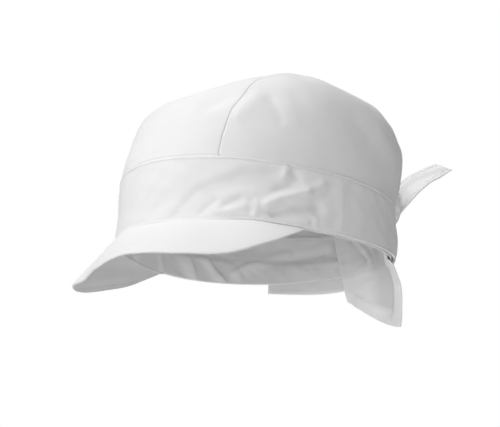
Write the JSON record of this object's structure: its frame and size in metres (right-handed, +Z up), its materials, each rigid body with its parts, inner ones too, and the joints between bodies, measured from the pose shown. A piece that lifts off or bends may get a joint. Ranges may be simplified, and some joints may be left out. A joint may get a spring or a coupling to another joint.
{
  "type": "bandana cap",
  "caption": "Soft white cotton bandana cap with a short curved peak, a lapped headband, a hemmed neck tail and a tie knotted at the back.",
  "frame": {"origin": "middle of the rim, level with its mean height, where the cap sits on a head", "axes": "+Z up out of the crown, -Y towards the peak, +X towards the wearer's left"},
  "size_m": [0.1714, 0.2787, 0.1645],
  "materials": {
    "crown_cotton": "matte plain-weave cotton",
    "band_cotton": "matte plain-weave cotton, creased",
    "facing_cotton": "matte plain-weave cotton",
    "peak_cotton": "matte plain-weave cotton over a stiff core",
    "tail_cotton": "matte plain-weave cotton",
    "tie_cotton": "matte plain-weave cotton"
  },
  "bodies": {
    "root": {"crown_centre_panel": "crown_cotton", "crown_side_panel_left": "crown_cotton", "crown_side_panel_right": "crown_cotton", "headband": "band_cotton", "sweatband": "facing_cotton", "peak": "peak_cotton", "neck_tail": "tail_cotton", "tie_strap_left": "tie_cotton", "tie_strap_right": "tie_cotton", "tie_knot": "tie_cotton", "tie_tail_up": "tie_cotton", "tie_tail_down": "tie_cotton"}
  },
  "joints": []
}
